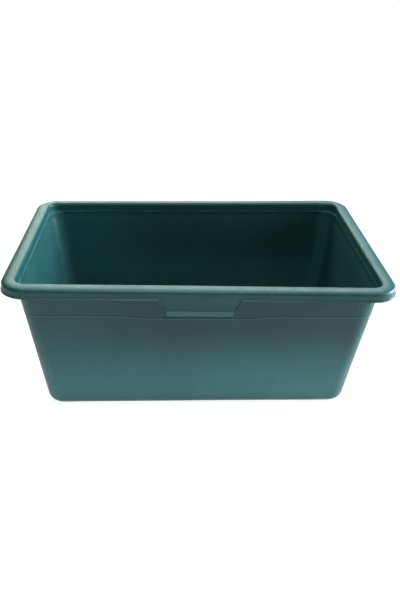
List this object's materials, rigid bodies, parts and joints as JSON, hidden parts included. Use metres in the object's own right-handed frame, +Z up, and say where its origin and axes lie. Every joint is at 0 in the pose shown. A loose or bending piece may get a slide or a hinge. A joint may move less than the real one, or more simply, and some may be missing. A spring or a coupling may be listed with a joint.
{
  "type": "mortar mixing tub",
  "caption": "Rectangular tapered plastic tub for mixing mortar, with a broad rolled rim and a trapezoid grip plate on each long side.",
  "frame": {"origin": "centre of the underside of the floor, where the tub stands", "axes": "+X along the long side, to the right seen from the front; +Y from the front long side to the rear one; +Z up, out of the opening"},
  "size_m": [0.78, 0.496, 0.318],
  "materials": {
    "tub_plastic": "satin"
  },
  "bodies": {
    "root": {"tub_shell": "tub_plastic", "rolled_rim": "tub_plastic", "front_grip_plate": "tub_plastic", "front_grip_lip": "tub_plastic", "front_grip_web_left": "tub_plastic", "front_grip_web_right": "tub_plastic", "rear_grip_plate": "tub_plastic", "rear_grip_lip": "tub_plastic", "rear_grip_web_left": "tub_plastic", "rear_grip_web_right": "tub_plastic"}
  },
  "joints": []
}
